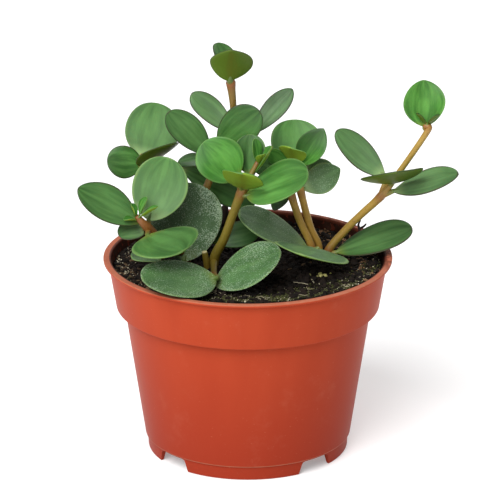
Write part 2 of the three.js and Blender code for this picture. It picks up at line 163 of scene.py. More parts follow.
# Each shoot has the redness and darkness of its stem, and paths of (x, y, z, radius) points.
# A leaf is (look, path, point, base, heading, rise, roll, length, width, cup, droop, sharpness):
# the point on a path that it grows from, where its blade begins, the compass heading of its midrib
# (0 is +X, 90 is +Y), the midrib's climb and its turn about itself in degrees, and then its sizes:
# the rim stands above the midrib by cup, and the tip hangs below its line by droop. The last number
# is how much sharper than a plain oval its tip is.
SHOOTS = {
    "shoot_centre": {
        "tint": (0.0, 0.9),
        "stem": [(-12.6, -2, 64, 1.9), (-12.6, -2, 74, 1.9), (-8.7, -4, 83.3, 1.7),
                 (-5.6, -6, 93, 1.6), (-2.3, -8, 102.5, 1.7), (0.5, -7.5, 108, 1.0),
                 (3.6, -6, 113.5, 0.8)],
        "runner": [(-12.6, -2, 73.6, 1.3), (-12.6, -11, 73.6, 1.2), (-12.5, -20, 74, 1.2)],
        "stub": [(-14.9, -3.2, 68, 1.2), (-15.4, -3.4, 73, 1.2), (-16.2, -3.4, 77.8, 1.1)],
        "leaves": [
            ("young", "stem", 4, (-4, -8.5, 107.8), 165, 45, -65, 18.5, 17.5, 1.5, 0, 0.06),
            ("fresh", "stem", 4, (-0.6, -9.5, 101.7), 344, 24, 34, 26, 20, 1.5, 0, 0),
            ("young", "stem", 4, (-2.2, -9.5, 104.7), 272, 38, -16, 16, 16, 1.2, 0, 0),
            ("plain", "stem", 4, (0.7, -5.5, 108.5), 86, 70, 4, 15, 12, 1.5, 0, 0),
            ("bud", "stem", 6, (3.6, -6, 113.5), 135, 80, 0, 9, 5, 1, 0, 0),
            ("bud", "stem", 6, (2, -5.5, 109), 0, 57, 10, 12.6, 7, 1.5, 0, 0),
            ("bud", "stem", 6, (4.2, -7, 113.5), 290, 50, 0, 6, 4, 1, 0, 0),
            ("dusty", "runner", 2, (-11.6, -28.8, 76.4), 208, 7.5, -21, 30, 23, 1, 0, 0),
            ("dusty", "runner", 2, (-12.3, -25, 72.9), 350, 30, 24, 28, 23, 1, 1, 0),
        ],
    },
    "shoot_tall": {
        "tint": (0.45, 1.0),
        "stem": [(-19.5, 11, 64, 1.7), (-19.5, 11, 74, 1.7), (-18, 10, 88, 1.5),
                 (-14.6, 9, 101, 1.4), (-9.5, 8, 111, 1.3), (-6.7, 8, 117, 1.4),
                 (-5.4, 8, 128.6, 1.2), (-6.3, 8, 140, 1.6)],
        "leaves": [
            ("dull", "stem", 5, (-5.7, 11, 120.5), 156, 36, -40, 20.8, 10, 1, 0, 0.06),
            ("grey", "stem", 5, (2, 13, 118.4), 27, 43, 41, 22.5, 8.8, 1, 0, 0.08),
            ("dark", "stem", 5, (-11, 5, 116.9), 351, 41, 80, 20.8, 14.6, 1, 0, 0),
            ("mature", "stem", 5, (-14, 6, 112.6), 190, 48, -84, 23.5, 11.5, 1, 0, 0),
            ("shaded", "stem", 4, (-13.2, 9, 108.8), 208, 5, -24, 14.5, 8, 1, 0, 0.1),
            ("shaded", "stem", 1, (-14, 11, 76.5), 8, 12, 60, 19, 10, 1, 0, 0),
            ("mature", "stem", 7, (-6.5, 7, 141), 273, 63, 0, 15.6, 16, 1.5, 0, 0.25),
            ("mature", "stem", 7, (-6.5, 9, 140.3), 136, 61, 0, 15, 10, 2, 0, 0),
            ("mature", "stem", 5, (-6, 12, 117), 80, 0, 0, 18, 14, 1, 0, 0),
        ],
    },
    "shoot_left_back": {
        "tint": (0.3, 0.35),
        "stem": [(-20, 15, 64, 1.6), (-20, 15, 74, 1.6), (-24, 14, 85, 1.4), (-33, 12, 99, 1.3),
                 (-39.2, 10, 108, 1.4), (-39.5, 10, 111, 0.8)],
        "leaves": [
            ("pale", "stem", 4, (-38.3, 11, 109.7), 46, 71, 42, 21, 20.6, 1.5, 0, 0),
            ("dark", "stem", 4, (-39.5, 9, 107.8), 190, 10, -60, 13.3, 12.6, 1, 0, 0),
            ("mature", "stem", 4, (-39.8, 8, 107.5), 330, 38, -12, 18, 17, 1, 0, 0),
            ("shaded", "stem", 3, (-25.5, 18.5, 103.5), 353, -26, 60, 31.5, 11.4, 1, 0, 0.1),
            ("mature", "stem", 1, (-20, 18.5, 75), 100, 10, 0, 23, 18, 1, 0, 0),
        ],
    },
    "shoot_left_front": {
        # This stem's deep red-brown is partly painted shade, for the shadow it stands in
        "tint": (0.8, 0.95),
        "stem": [(-23.5, 3, 64, 1.7), (-23.5, 3, 74, 1.7), (-29, -6, 80, 1.5),
                 (-36.8, -16, 91.5, 1.6), (-40.4, -17, 95.7, 1)],
        "leaves": [
            ("glossy", "stem", 3, (-36.5, -13, 93.3), 34, 68, 52, 24.4, 20.4, 2, 0, 0),
            ("mature", "stem", 3, (-39.3, -16, 93.3), 185, 31.5, -52, 27, 14.2, 1.5, 0, 0.1),
            ("plain", "stem", 3, (-36.6, -20, 89.9), 306, 0.5, 12, 22.5, 26, 1.5, 0, 0.06),
            ("dull", "stem", 3, (-38.5, -13, 89.8), 205, -5, -25, 10, 10, 1, 0, 0),
            ("silver", "stem", 2, (-32, -8, 77), 200, 7, -15, 12, 9, 1, 0, 0),
            ("bud", "stem", 4, (-39.9, -17, 96.4), 20, 66, 0, 7.6, 4.6, 1, 0, 0),
            ("bud", "stem", 4, (-39.9, -17.5, 96), 345, 34, 0, 8.8, 3.6, 1, 0, 0),
            ("bud", "stem", 4, (-40.9, -17, 96.2), 160, 68, 0, 5.2, 3.6, 1, 0, 0),
            ("bud", "stem", 4, (-40.8, -17.5, 95), 210, 10, 0, 5.4, 3.6, 1, 0, 0),
            ("deep", "stem", 1, (-23.8, -0.8, 73), 80, 76, 20, 29.5, 27, 1, 0, 0),
        ],
    },
    "shoot_twin_left": {
        "tint": (0.0, 0.0),
        "stem": [(24.2, 10, 64, 1.3), (24.2, 10, 74, 1.3), (19.7, 10.5, 84.7, 1.4),
                 (16.3, 11, 95, 1.4), (14.5, 12, 104, 1.0)],
        "leaves": [
            ("mature", "stem", 4, (13, 12, 103.5), 185, 20, -50, 12, 9, 1, 0, 0),
            ("mature", "stem", 4, (13.8, 10.5, 104), 262, 10, 0, 11, 9, 1, 0, 0),
            ("mature", "stem", 4, (14.6, 13.5, 105.5), 80, 45, 0, 14, 12, 1, 0, 0),
            ("old", "stem", 1, (22.4, 8, 75), 193, 31, -25, 31, 18.5, 1, 0, 0),
            ("low", "stem", 1, (26, 2.6, 76.6), 258, 12.8, -11, 24, 29, 0.5, 0, 0),
            ("shaded", "stem", 3, (15.2, 12, 94), 165, -35, -40, 8, 8, 1, 0, 0),
        ],
    },
    "shoot_twin_right": {
        "tint": (0.0, 0.0),
        "stem": [(26.8, 13, 64, 1.3), (26.8, 13, 74, 1.3), (23.5, 13, 81.6, 1.4),
                 (19.9, 12.5, 95.6, 1.35), (17.9, 10, 105.3, 1.3)],
        "leaves": [
            ("soft", "stem", 4, (17.6, 11, 107.5), 95, 68, 0, 16.5, 19, 2, 0, 0),
            ("vivid", "stem", 4, (19, 9, 107), 8, 57, 60, 17.2, 11, 1.5, 0, 0.3),
            ("bud", "stem", 4, (16.7, 8.5, 109.2), 262, 50, -14, 9.5, 11, 1, 0, 0),
            ("silver", "stem", 3, (20.9, 21, 101), 2, 6, 50, 11.5, 9, 1, 0, 0),
            ("silver", "stem", 3, (20.3, 14.5, 96.2), 12, 26, 66, 16.4, 11.2, 1, 0, 0.3),
            ("young", "stem", 4, (15, 10.5, 107.5), 192, 40, -120, 9, 8, 1, 0, 0),
        ],
    },
    "shoot_right": {
        "tint": (0.12, 0.42),
        "stem": [(30.2, 7, 64, 1.5), (30.2, 7, 74, 1.5), (36.3, 7, 82.2, 1.45),
                 (41.8, 6, 88.5, 1.4), (49.6, 4, 97, 1.45), (56.1, 4, 106.1, 1.15),
                 (66.4, 4, 122.2, 1.15), (65.9, 4.4, 124.3, 1.1)],
        "leaves": [
            ("dull", "stem", 4, (51.3, 6, 103.7), 158, 39, -40, 25.4, 11.4, 1, 0, 0.04),
            ("mature", "stem", 4, (53.4, 3, 102.4), 275, 31.5, 7, 18, 23.8, 1.2, 0, 0.2),
            ("dull", "stem", 4, (53.9, 3, 99.2), 346, 19.5, 26, 26.3, 13.4, 1, 0, 0.04),
            ("young", "stem", 7, (65.5, 4.8, 123.8), 98, 76, -8, 17.4, 15.6, 3, 0, 0.14),
            ("mature", "stem", 7, (65.4, 3.9, 125.2), 205, 52, 0, 5.6, 3.6, 1, 0, 0),
            ("mature", "stem", 7, (66.4, 3.6, 125.2), 335, 42, 0, 6.4, 3.6, 1, 0, 0),
            ("grey", "stem", 1, (33.1, 6, 74), 0, 18.3, 18, 30.1, 18, 1, 0, 0),
        ],
    },
}

# Camera at the photograph's viewing angle
CAMERA_AIM = (0.8, 0, 77.1)
CAMERA_DISTANCE = 1300
CAMERA_ELEVATION = 19.55
CAMERA_FOCAL_LENGTH = 250.6


def add_camera():
    data = bpy.data.cameras.new("camera")
    data.lens = CAMERA_FOCAL_LENGTH
    data.sensor_width = 36
    data.clip_end = 20
    camera = bpy.data.objects.new("camera", data)
    climb = math.radians(CAMERA_ELEVATION)
    back = Vector((0, -math.cos(climb), math.sin(climb)))
    camera.location = (Vector(CAMERA_AIM) + back * CAMERA_DISTANCE) * MM
    camera.rotation_euler = (math.pi / 2 - climb, 0, 0)
    bpy.context.collection.objects.link(camera)
    bpy.context.scene.camera = camera


# Materials

def srgb(red, green, blue):
    """A colour of 0 to 255 parts as the shader's linear values."""
    def linear(part):
        return part / 12.92 if part <= 0.04045 else ((part + 0.055) / 1.055) ** 2.4

    return [linear(part / 255) for part in (red, green, blue)] + [1]


class Shader:
    """Builds a node material: each call adds a node and returns its output."""

    def __init__(self, name):
        self.material = bpy.data.materials.new(name)
        self.material.use_nodes = True
        self.tree = self.material.node_tree
        self.surface = self.tree.nodes["Principled BSDF"]

    def node(self, kind, inputs=None, output=0, **settings):
        node = self.tree.nodes.new(kind)
        for name, value in settings.items():
            setattr(node, name, value)
        for key, value in (inputs or {}).items():
            self.feed(node.inputs[key], value)
        return node.outputs[output]

    def feed(self, socket, value):
        if isinstance(value, bpy.types.NodeSocket):
            self.tree.links.new(value, socket)
        else:
            socket.default_value = value

    def math(self, operation, first, second=0.0, clamp=False):
        inputs = {0: first, 1: second}
        return self.node("ShaderNodeMath", inputs, operation=operation, use_clamp=clamp)

    def plus(self, total, *terms, clamp=False):
        for term in terms:
            total = self.math("ADD", total, term, clamp)
        return total

    def minus(self, first, second):
        return self.math("SUBTRACT", first, second)

    def times(self, product, *factors, clamp=False):
        for factor in factors:
            product = self.math("MULTIPLY", product, factor, clamp)
        return product

    def mix(self, share, first, second):
        inputs = {0: share, 6: first, 7: second}
        return self.node("ShaderNodeMix", inputs, output=2, data_type="RGBA")

    def ramp(self, value, low, high):
        """0 below low, 1 above high, smooth between."""
        inputs = {0: value, 1: low, 2: high}
        return self.node("ShaderNodeMapRange", inputs, interpolation_type="SMOOTHSTEP")

    def parts(self, vector):
        """A vector's x, y and z."""
        return self.node("ShaderNodeSeparateXYZ", {0: vector}).node.outputs

    def attribute(self, name):
        """The three parts of a value that the mesh keeps at its points."""
        return self.parts(self.node("ShaderNodeAttribute", output=1, attribute_name=name))

    def noise(self, scale, detail, roughness=0.5, vector=None):
        inputs = {"Scale": scale, "Detail": detail, "Roughness": roughness}
        inputs["Vector"] = vector or self.place()
        return self.node("ShaderNodeTexNoise", inputs)

    def place(self):
        """The place on the piece, in metres."""
        return self.node("ShaderNodeTexCoord", output=3)

    def vector(self, x, y, z):
        return self.node("ShaderNodeCombineXYZ", {0: x, 1: y, 2: z})

    def bump(self, height, distance, strength):
        inputs = {"Height": height, "Strength": strength, "Distance": distance}
        self.feed(self.surface.inputs["Normal"], self.node("ShaderNodeBump", inputs))

    def finish(self, colour, roughness, **fixed):
        self.feed(self.surface.inputs["Base Color"], colour)
        self.feed(self.surface.inputs["Roughness"], roughness)
        for name, value in fixed.items():
            self.surface.inputs[name.replace("_", " ")].default_value = value
        return self.material


def leaf_material():
    """Green blades with soft stripes, a thin rim line, an olive underside, mineral specks, painted
    shade and painted highlights.
    """
    s = Shader("peperomia_leaf")
    along, across, upper = s.attribute("blade")
    youth, bloom, dust = s.attribute("look")
    # The leaf's painted shade, a random seed and the tone of its rim
    shade, seed, rim_tone = s.attribute("age")
    edge = s.math("ABSOLUTE", across)

    # Streaks follow the curved nerves, so they keep their share of the blade's width
    place = s.vector(s.times(across, 2.6), s.times(along, 1.1), seed)
    streaks = s.noise(1.7, 3.0, 0.55, place)
    broad = s.noise(1.3, 1.0, 0.5, s.vector(across, along, s.plus(seed, 70.0)))
    nerves = s.times(s.math("COSINE", s.times(across, 11.0)), 0.03)
    centre = s.times(s.minus(1.0, edge), 0.08)
    tone = s.plus(s.times(streaks, 0.6), s.times(broad, 0.4))
    tone = s.ramp(s.plus(nerves, centre, tone), 0.34, 0.76)

    old_colour = s.mix(tone, srgb(43, 79, 34), srgb(83, 121, 68))
    young_colour = s.mix(tone, srgb(45, 100, 26), srgb(91, 152, 62))
    colour = s.mix(youth, old_colour, young_colour)

    # The bloom is thickest near the stalk, and the tip is darkest
    waxy = s.times(bloom, s.minus(0.75, s.times(along, 0.55)))
    colour = s.mix(waxy, colour, srgb(116, 140, 104))
    tip = s.ramp(along, 0.45, 1.0)
    colour = s.mix(s.times(tip, 0.22), colour, srgb(36, 66, 30))
    patches = s.ramp(s.noise(130.0, 4.0, 0.6), 0.35, 0.7)
    colour = s.mix(s.times(patches, 0.22), colour, srgb(58, 92, 48))

    # The blade is yellower where it meets its stalk; where the bloom is thick, a whitish
    # painted highlight lies there instead
    foot = s.ramp(along, s.plus(0.16, s.times(bloom, 0.14)), 0.0)
    foot_tint_and_highlight = s.mix(s.ramp(bloom, 0.3, 0.7), srgb(116, 128, 48), srgb(172, 202, 138))
    colour = s.mix(s.times(foot, 0.7), colour, foot_tint_and_highlight)

    # Dried mineral specks, thickest near the rim
    near_rim = s.math("POWER", edge, 4.0)
    spread = s.plus(s.noise(160.0, 2.0), s.times(near_rim, 0.35))
    spread = s.times(s.ramp(spread, 0.3, 0.9), s.times(dust, 0.13))
    grains = s.plus(s.noise(2500.0, 2.0, 0.6), spread)
    speck = s.times(s.ramp(grains, 0.59, 0.71), s.times(dust, 0.6))
    colour = s.mix(s.times(dust, 0.14), colour, srgb(92, 112, 92))
    colour = s.mix(speck, colour, srgb(172, 194, 164))

    # A thin line runs along the rim: brown on older leaves, a pale painted highlight on young ones
    rim = s.math("MAXIMUM", s.ramp(edge, 0.87, 0.96), s.ramp(along, 0.965, 0.995))
    dark_rim = s.times(rim, s.times(rim_tone, -0.85), clamp=True)
    rim_highlight = s.times(rim, s.times(rim_tone, 0.45), clamp=True)
    colour = s.mix(dark_rim, colour, srgb(52, 46, 32))
    colour = s.mix(rim_highlight, colour, srgb(138, 168, 98))

    # The underside is plain olive with a darker middle
    below = s.ramp(upper, -0.25, -0.5)
    under_colour = s.mix(youth, srgb(46, 66, 12), srgb(116, 144, 42))
    middle = s.ramp(s.plus(edge, s.times(streaks, 0.5)), 0.75, 0.2)
    under_colour = s.mix(s.times(middle, 0.45), under_colour, srgb(86, 84, 22))
    colour = s.mix(below, colour, under_colour)

    # A shaded leaf is darkest towards its tip on the left, where other leaves hang over it
    cover = s.ramp(s.minus(along, s.times(across, 0.8)), -0.2, 1.0)
    cover = s.plus(0.25, s.times(cover, 0.75))
    colour = s.mix(s.times(shade, cover), colour, srgb(24, 36, 18))

    grain = s.noise(900.0, 2.0)
    s.bump(s.plus(s.times(grain, 0.25), s.times(streaks, 0.75), speck), 0.18 * MM, 0.5)
    roughness = s.plus(0.34, s.times(bloom, 0.16), s.times(patches, 0.1), s.times(dust, 0.15))
    return s.finish(colour, roughness, Specular_IOR_Level=0.2,
                    Subsurface_Weight=0.08, Subsurface_Scale=1.5 * MM)


def stem_material():
    """Golden olive stems, reddish brown at the joints, green where a stalk runs into its blade."""
    s = Shader("peperomia_stem")
    red, green, pale = s.attribute("tint")
    dark, along, around = s.attribute("stem")
    place = s.vector(s.times(around, 3.0), s.times(along, 0.18), dark)
    streaks = s.noise(4.0, 4.0, 0.6, place)
    colour = s.mix(streaks, srgb(156, 120, 40), srgb(212, 172, 84))
    colour = s.mix(s.times(dark, 0.88), colour, srgb(86, 84, 8))
    colour = s.mix(s.times(red, 0.75), colour, srgb(122, 62, 26))
    colour = s.mix(green, colour, s.mix(dark, srgb(112, 136, 56), srgb(78, 100, 40)))
    spots = s.ramp(s.noise(700.0, 2.0), 0.62, 0.75)
    colour = s.mix(s.times(spots, 0.35), colour, srgb(92, 58, 30))
    colour = s.mix(pale, colour, srgb(196, 186, 138))
    s.bump(s.plus(streaks, spots), 0.2 * MM, 0.6)
    return s.finish(colour, s.plus(0.36, s.times(streaks, 0.2)),
                    Subsurface_Weight=0.05, Subsurface_Scale=MM)


def pot_material():
    """Satin terracotta plastic: faint flow marks and dust, painted highlights on the lip and foot
    line, and painted shade inside.
    """
    s = Shader("terracotta_plastic")
    x, y, z = s.parts(s.place())
    place = s.vector(s.times(x, 90.0), s.times(y, 90.0), s.times(z, 18.0))
    flow = s.noise(1.0, 4.0, 0.5, place)
    colour = s.mix(flow, srgb(155, 55, 31), srgb(172, 68, 40))
    colour = s.mix(s.ramp(z, 75 * MM, -15 * MM), colour, srgb(140, 47, 29))

    # The lip and the foot line are paler: a painted highlight of light on these thin edges
    lip = s.ramp(z, (POT_HEIGHT - 0.5) * MM, (POT_HEIGHT - 0.1) * MM)
    from_line = s.math("ABSOLUTE", s.minus(z, FOOT_LINE_HEIGHT * MM))
    line = s.ramp(from_line, 0.45 * MM, 0.05 * MM)
    edge_highlight = s.math("MAXIMUM", s.times(lip, 0.55), s.times(line, 0.6))
    colour = s.mix(edge_highlight, colour, s.mix(s.noise(500.0, 3.0), srgb(150, 92, 68), srgb(182, 134, 108)))

    # The wall's inner face above the filling is darkened with painted shade; soil has splashed its
    # top and stained the rim on the right
    collar_height = POT_HEIGHT - RIM_THICKNESS - COLLAR_FOOT_HEIGHT
    lean = (COLLAR_TOP_RADIUS - COLLAR_FOOT_RADIUS) / collar_height
    radius = s.math("SQRT", s.plus(s.math("POWER", x, 2.0), s.math("POWER", y, 2.0)))
    from_wall = s.minus(radius, s.times(z, lean))
    outer = COLLAR_FOOT_RADIUS - COLLAR_FOOT_HEIGHT * lean
    inner_face = s.times(s.ramp(from_wall, (outer - 0.4) * MM, (outer - 0.7) * MM),
                         s.ramp(z, 66 * MM, 68 * MM))
    # Painted shade inside the pot
    colour = s.mix(s.times(inner_face, 0.85), colour, srgb(60, 30, 22))
    splash = s.times(s.ramp(s.noise(420.0, 3.0), 0.36, 0.46), inner_face,
                     s.ramp(z, 74.9 * MM, 73.8 * MM))
    colour = s.mix(s.times(splash, 0.9), colour, srgb(36, 22, 16))
    corner = s.plus(x, s.times(y, 1.1))
    stain = s.times(s.ramp(corner, 30 * MM, 44 * MM), s.ramp(z, 73.8 * MM, 74.6 * MM),
                    s.ramp(s.noise(260.0, 3.0), 0.36, 0.52))
    colour = s.mix(s.times(stain, 0.8), colour, srgb(88, 42, 28))

    # Fine dust and handling marks
    dust = s.ramp(s.noise(60.0, 6.0, 0.7), 0.55, 0.8)
    colour = s.mix(s.times(dust, 0.08), colour, srgb(206, 150, 126))
    specks = s.ramp(s.noise(1500.0, 1.0), 0.74, 0.8)
    colour = s.mix(s.times(specks, 0.2), colour, srgb(216, 150, 124))
    grain = s.noise(2400.0, 2.0)
    s.bump(s.plus(s.times(grain, 0.3), flow), 0.12 * MM, 0.35)
    roughness = s.plus(0.42, s.times(dust, 0.16))
    return s.finish(colour, roughness, IOR=1.12, Subsurface_Weight=0.05, Subsurface_Scale=MM)


def soil_material():
    """Dark moist potting mix with paler grains."""
    s = Shader("potting_soil")
    broad = s.noise(240.0, 5.0, 0.65)
    fine = s.noise(1400.0, 3.0, 0.6)
    colour = s.mix(broad, srgb(4, 3, 2), srgb(24, 16, 11))
    colour = s.mix(s.times(s.ramp(fine, 0.58, 0.78), 0.5), colour, srgb(84, 64, 44))
    s.bump(s.plus(broad, s.times(fine, 0.6)), 0.8 * MM, 0.9)
    return s.finish(colour, 0.9, Specular_IOR_Level=0.1)


def bits_material(name, dark, light, scale, roughness):
    """Loose bits whose colour goes from dark to light by each bit's own shade."""
    s = Shader(name)
    shade, mottle, _ = s.attribute("bit")
    grain = s.noise(scale, 3.0, 0.6)
    share = s.plus(s.times(shade, 0.75), s.times(grain, 0.35), clamp=True)
    colour = s.mix(share, dark, light)
    s.bump(s.plus(grain, mottle), 0.3 * MM, 0.7)
    return s.finish(colour, roughness, Specular_IOR_Level=0.2)


def floor_material():
    """Pale, and with a faint glow of its own that keeps the shadow light."""
    s = Shader("studio_floor")
    s.bump(s.noise(30.0, 2.0), 0.5 * MM, 0.05)
    s.surface.inputs["Emission Color"].default_value = (1, 1, 1, 1)
    return s.finish(srgb(222, 222, 222), 0.7, Emission_Strength=0.3)


# Meshes

class Skin:
    """Collects closed shells with values at their points, and makes one mesh object of them."""

    def __init__(self):
        self.points = []
        self.faces = []
        self.material_slots = []
        self.values = {}
        self.count = 0

    def add(self, points, faces, material=0, **values):
        self.points.append(points)
        self.faces += [[corner + self.count for corner in face] for face in faces]
        self.material_slots += [material] * len(faces)
        for name, rows in values.items():
            self.values.setdefault(name, []).append((self.count, np.asarray(rows, float)))
        self.count += len(points)

    def piece(self, name, materials, slot, node=None, smooth=True):
        """Puts the shells in the scene as one piece, on the part's only body."""
        mesh = bpy.data.meshes.new(name)
        points = np.concatenate(self.points) * MM
        mesh.from_pydata(points.tolist(), [], self.faces)
        for label, runs in self.values.items():
            full = np.zeros((self.count, 3))
            for start, rows in runs:
                full[start:start + len(rows)] = rows
            attribute = mesh.attributes.new(label, "FLOAT_VECTOR", "POINT")
            attribute.data.foreach_set("vector", full.ravel())
        for material in materials:
            mesh.materials.append(material)
        mesh.polygons.foreach_set("material_index", self.material_slots)
        mesh.polygons.foreach_set("use_smooth", [smooth] * len(mesh.polygons))
        mesh.update()
        piece = bpy.data.objects.new(name, mesh)
        bpy.context.collection.objects.link(piece)
        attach(piece, "root")
        if node:
            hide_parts(node)
        return piece


def loft(rings):
    """The points and faces of a closed skin over an array of rings."""
    count, sides, _ = rings.shape
    faces = []
    for i in range(count - 1):
        for j in range(sides):
            a = i * sides + j
            b = i * sides + (j + 1) % sides
            faces.append((a, b, b + sides, a + sides))
    last = (count - 1) * sides
    faces.append(tuple(range(sides - 1, -1, -1)))
    faces.append(tuple(range(last, last + sides)))
    return rings.reshape(-1, 3), faces


def spline(points, steps):
    """Places on a smooth curve through (x, y, z, radius) points, and the radii there."""
    rows = np.array(points, float)
    rows = np.vstack([2 * rows[0] - rows[1], rows, 2 * rows[-1] - rows[-2]])
    places = []
    for k in range(1, len(rows) - 2):
        before, start, end, after = rows[k - 1:k + 3]
        for t in np.arange(steps) / steps:
            places.append(0.5 * (2 * start + (end - before) * t
                                 + (2 * before - 5 * start + 4 * end - after) * t ** 2
                                 + (3 * start - before - 3 * end + after) * t ** 3))
    places.append(rows[-2])
    places = np.array(places)
    return places[:, :3], places[:, 3]


def tube(centres, radii, sides):
    """Rings round a line of centres, turned as little as possible from one to the next."""
    tangents = np.gradient(centres, axis=0)
    tangents /= np.linalg.norm(tangents, axis=1)[:, None]
    across = np.array([0.0, 1, 0]) if abs(tangents[0, 0]) > 0.8 else np.array([1.0, 0, 0])
    angles = 2 * np.pi * np.arange(sides) / sides
    rings = []
    for centre, tangent, radius in zip(centres, tangents, radii):
        across = across - tangent * (across @ tangent)
        across /= np.linalg.norm(across)
        over = np.cross(tangent, across)
        circle = np.cos(angles)[:, None] * across + np.sin(angles)[:, None] * over
        rings.append(centre + radius * circle)
    return np.array(rings)


# Shoots

def blade_axes(heading, rise, roll):
    """The midrib's direction, the blade's sideways direction and its upper side."""
    h, r, t = np.radians([heading, rise, roll])
    along = np.array([np.cos(r) * np.cos(h), np.cos(r) * np.sin(h), np.sin(r)])
    up = np.array([-np.sin(r) * np.cos(h), -np.sin(r) * np.sin(h), np.cos(r)])
    level = np.array([np.sin(h), -np.cos(h), 0])
    return along, level * np.cos(t) - up * np.sin(t), up * np.cos(t) + level * np.sin(t)


def blade_outline(u, slimness, sharpness):
    """Half the blade's width at a share u of its length, as a share of its widest."""
    tip = 0.48 + 0.1 * slimness + sharpness
    root = 0.55 + 0.45 * slimness + 0.6 * sharpness
    widest = root / (root + tip)
    return u ** root * (1 - u) ** tip / (widest ** root * (1 - widest) ** tip)


def add_blade(skin, leaf, random):
    """A fleshy blade with a rounded rim, a shallow groove over its midrib and wavy edges."""
    look, _, _, base, heading, rise, roll, length, width, cup, droop, sharpness = leaf
    tone = LOOKS[look]
    along, side, normal = blade_axes(heading, rise, roll)
    size = min(1, length / FULL_BLADE)
    swell = max(0, BLADE_MIDDLE * size - BLADE_EDGE)

    # u is the share of the length, v goes from rim to rim and over from the underside to the top
    u = (1 - np.cos(np.pi * np.arange(BLADE_ROWS + 1) / BLADE_ROWS))[:, None] / 2
    half = blade_outline(u, max(0, 1 - width / length), sharpness) * width / 2
    angle = np.pi - 2 * np.pi * np.arange(BLADE_SIDES)[None] / BLADE_SIDES
    v = np.sign(np.cos(angle)) * np.abs(np.cos(angle)) ** 0.8
    over = np.sign(np.sin(angle)) * np.abs(np.sin(angle)) ** 0.6

    # The blade's own waves, twist and bow
    wave, twist, bow = random.uniform(-1, 1, 3)
    phase, turns = random.uniform(0, 2 * np.pi), random.uniform(0.7, 1.3)
    half = np.maximum(half, BLADE_END_HALF_WIDTH)
    half = half * (1 + EDGE_RIPPLE * np.sin(4.5 * u + phase) * np.sign(v))
    lift = cup * (v * half / (width / 2)) ** 2 - droop * u ** 2
    edge_phase = 2 * np.pi * turns * u + phase + 1.5 * np.sign(v)
    lift = lift + size * EDGE_WAVE * wave * v ** 2 * np.sin(edge_phase)
    lift = lift + BLADE_TWIST * twist * v * half * (u - 0.4)
    lift = lift + size * BLADE_BOW * bow * np.sin(np.pi * u)

    # The blade is thin at its rim and thickest in its middle
    rim = BLADE_EDGE * size ** 0.5 * np.abs(over) * np.minimum(1, half / 1.4) ** 0.5
    thickness = rim + swell * (1 - v ** 2) * 4 * u * (1 - u)
    hollow = np.exp(-(v / GROOVE_HALF_WIDTH) ** 2) * np.sin(np.pi * u) ** 0.5
    groove = GROOVE_DEPTH * size * hollow * (over > 0)
    height = lift + np.sign(over) * thickness / 2 - groove

    drift = size * BLADE_DRIFT * random.uniform(-1, 1) * np.sin(np.pi * u)
    rings = (np.array(base) + (u * length)[..., None] * along
             + (v * half + drift)[..., None] * side + height[..., None] * normal)
    points, faces = loft(rings)
    ones = np.ones_like(v * u)
    skin.add(points, faces, 0,
             blade=np.stack([u * ones, v * ones, over * ones], -1).reshape(-1, 3),
             look=np.tile((tone["youth"], tone["bloom"], tone["dust"]), (len(points), 1)),
             age=np.tile((tone["shade"], random.uniform(0, 50), tone["rim"]), (len(points), 1)))


def add_stem(skin, path, tint, joints, cut=False):
    """A stem that swells and reddens at its joints and ends in a round tip or a pale cut."""
    red, dark = tint
    centres, radii = spline(path, STEM_STEPS)
    nearness = np.zeros(len(centres))
    for joint in joints:
        away = np.linalg.norm(centres - np.array(joint), axis=1)
        nearness = np.maximum(nearness, np.exp(-(away / JOINT_REACH) ** 2))
    radii = radii * (1 + JOINT_SWELL * nearness)
    if cut:
        radii[-1] *= CUT_TAPER
    else:
        # Two smaller rings round the tip off
        tip = centres[-1] - centres[-2]
        tip *= radii[-1] / np.linalg.norm(tip)
        centres = np.vstack([centres, centres[-1] + 0.5 * tip, centres[-1] + 0.8 * tip])
        radii = np.concatenate([radii, radii[-1] * np.array([0.8, 0.4])])
        nearness = np.concatenate([nearness, nearness[-1:], nearness[-1:]])
    points, faces = loft(tube(centres, radii, STEM_SIDES))
    reach = np.linalg.norm(np.diff(centres, axis=0), axis=1).cumsum()
    reach = np.concatenate([[0], reach])
    foot = np.exp(-np.maximum(centres[:, 2] - SOIL_HEIGHT - 1, 0) / FOOT_FADE)
    reddish = np.clip(red + 0.8 * nearness + 0.25 * foot, 0, 1)
    darker = np.clip(dark + 0.35 * foot, 0, 1)
    pale = np.zeros(len(centres))
    if cut:
        pale[-1] = 1
    nothing = np.zeros(len(centres))
    around = np.abs(np.arange(STEM_SIDES) - STEM_SIDES / 2) * 2 / STEM_SIDES
    skin.add(points, faces, 1,
             tint=np.repeat(np.stack([reddish, nothing, pale], -1), STEM_SIDES, 0),
             stem=np.stack([np.repeat(darker, STEM_SIDES), np.repeat(reach, STEM_SIDES),
                            np.tile(around, len(centres))], -1))


